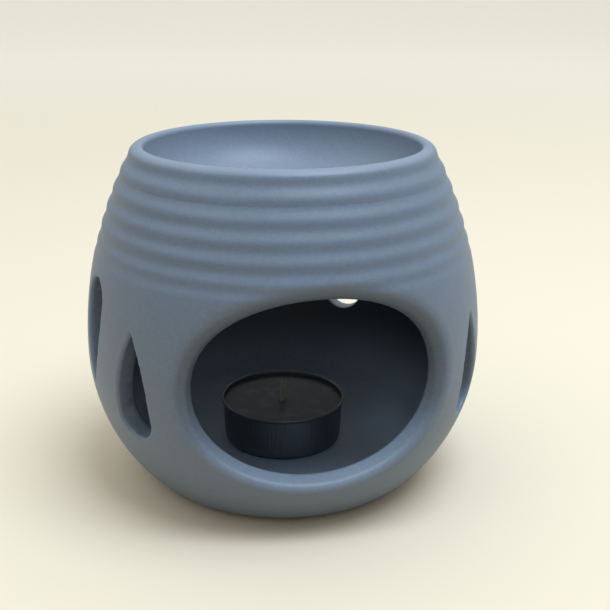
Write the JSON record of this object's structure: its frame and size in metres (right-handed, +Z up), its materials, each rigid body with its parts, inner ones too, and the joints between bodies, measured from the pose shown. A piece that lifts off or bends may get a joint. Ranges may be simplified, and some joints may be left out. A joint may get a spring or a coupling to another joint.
{
  "type": "essential oil burner",
  "caption": "Round-bellied glazed ceramic oil burner with a lipped bowl on top, an oval front opening, teardrop cut-outs round the sides and a lift-out tealight under the bowl.",
  "frame": {"origin": "centre of the foot ring, on the surface that the burner stands on", "axes": "+Z up along the turning axis, -Y out through the middle of the oval opening, +X to the right of someone who faces the opening"},
  "size_m": [0.12, 0.1154, 0.1024],
  "materials": {
    "grey_glaze": "satin",
    "cup_metal": "satin",
    "wax": "satin",
    "sustainer_metal": "satin",
    "wick_cotton": "matte"
  },
  "bodies": {
    "burner": {"burner_body": "grey_glaze", "oil_bowl": "grey_glaze"},
    "tealight": {"tealight_cup": "cup_metal", "tealight_wax": "wax", "wick_sustainer": "sustainer_metal", "wick": "wick_cotton"}
  },
  "joints": [
    {"name": "tealight_lift", "type": "slide", "parent": "burner", "child": "tealight", "axis": [0, -0.866, 0.5], "range_m": [0, 0.11]}
  ]
}
